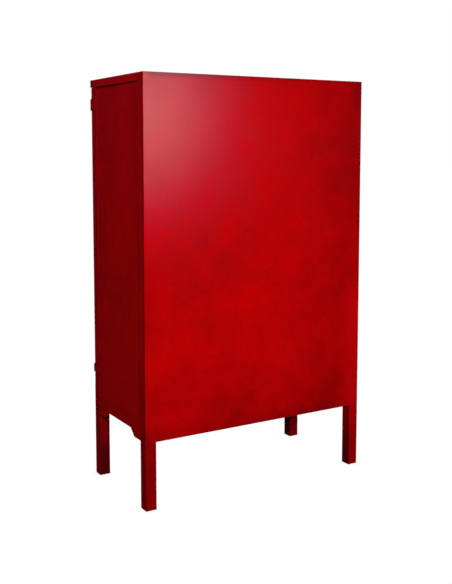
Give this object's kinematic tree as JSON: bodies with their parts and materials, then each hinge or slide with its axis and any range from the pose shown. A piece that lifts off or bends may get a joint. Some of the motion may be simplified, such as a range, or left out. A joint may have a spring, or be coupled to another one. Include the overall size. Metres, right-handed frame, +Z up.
{
  "type": "chinese armoire",
  "caption": "Tall red-lacquered Chinese armoire on straight legs, with panelled sides, shaped aprons, inner shelves, hinged doors, a round lock plate, hanging pulls and a sliding lock bar.",
  "frame": {"origin": "on the floor, in the middle of the overall outline seen from above", "axes": "+Z up, doors face -Y, +X to the right of someone facing the doors"},
  "size_m": [1.0626, 0.511, 1.7],
  "materials": {
    "red_lacquer": "semi-gloss red lacquer, lightly mottled",
    "inner_wood": "oiled, matte",
    "brass": "aged, satin",
    "lacquered_metal": "lacquered over with the case"
  },
  "bodies": {
    "case": {"front_left_post": "red_lacquer", "front_right_post": "red_lacquer", "rear_left_post": "red_lacquer", "rear_right_post": "red_lacquer", "left_side_apron": "red_lacquer", "right_side_apron": "red_lacquer", "front_apron": "red_lacquer", "front_bottom_rail": "red_lacquer", "left_side_panel": "red_lacquer", "right_side_panel": "red_lacquer", "back_panel": "red_lacquer", "top_front_rail": "red_lacquer", "top_rear_rail": "red_lacquer", "top_left_rail": "red_lacquer", "top_right_rail": "red_lacquer", "top_panel": "red_lacquer", "rear_bottom_rail": "inner_wood", "floor_panel": "inner_wood", "lower_shelf": "inner_wood", "upper_shelf": "inner_wood", "shelf_cleats": "inner_wood", "right_upper_hinge_post_leaf": "lacquered_metal", "right_upper_hinge_pin": "lacquered_metal", "right_lower_hinge_post_leaf": "lacquered_metal", "right_lower_hinge_pin": "lacquered_metal", "right_hinge_post_nails": "lacquered_metal", "left_upper_hinge_post_leaf": "lacquered_metal", "left_upper_hinge_pin": "lacquered_metal", "left_lower_hinge_post_leaf": "lacquered_metal", "left_lower_hinge_pin": "lacquered_metal", "left_hinge_post_nails": "lacquered_metal"},
    "right_door": {"right_door_hinge_stile": "red_lacquer", "right_door_meeting_stile": "red_lacquer", "right_door_top_rail": "red_lacquer", "right_door_bottom_rail": "red_lacquer", "right_door_panel": "red_lacquer", "right_door_battens": "inner_wood", "right_upper_hinge_door_leaf": "lacquered_metal", "right_lower_hinge_door_leaf": "lacquered_metal", "right_hinge_door_nails": "lacquered_metal", "right_lock_plate": "brass", "right_plate_nails": "brass", "right_lock_eyes": "brass", "right_pull_staple": "brass"},
    "right_pull": {"right_pull": "brass"},
    "left_door": {"left_door_hinge_stile": "red_lacquer", "left_door_meeting_stile": "red_lacquer", "left_door_top_rail": "red_lacquer", "left_door_bottom_rail": "red_lacquer", "left_door_panel": "red_lacquer", "left_door_battens": "inner_wood", "left_upper_hinge_door_leaf": "lacquered_metal", "left_lower_hinge_door_leaf": "lacquered_metal", "left_hinge_door_nails": "lacquered_metal", "left_lock_plate": "brass", "left_plate_nails": "brass", "left_lock_eyes": "brass", "left_pull_staple": "brass"},
    "left_pull": {"left_pull": "brass"},
    "lock_bar": {"lock_bar": "brass"}
  },
  "joints": [
    {"name": "right_door_hinge", "type": "hinge", "parent": "case", "child": "right_door", "pos_m": [0.5258, -0.2411, 1], "axis": [0, 0, 1], "range_deg": [0, 180]},
    {"name": "left_door_hinge", "type": "hinge", "parent": "case", "child": "left_door", "pos_m": [-0.5258, -0.2411, 1], "axis": [0, 0, -1], "range_deg": [0, 180]},
    {"name": "lock_bar_slide", "type": "slide", "parent": "right_door", "child": "lock_bar", "axis": [-1, 0, 0], "range_m": [0, 0.06]},
    {"name": "right_pull_swing", "type": "hinge", "parent": "right_door", "child": "right_pull", "pos_m": [0.046, -0.2465, 0.996], "axis": [-1, 0, 0], "range_deg": [0, 80]},
    {"name": "left_pull_swing", "type": "hinge", "parent": "left_door", "child": "left_pull", "pos_m": [-0.046, -0.2465, 0.996], "axis": [-1, 0, 0], "range_deg": [0, 80]}
  ]
}
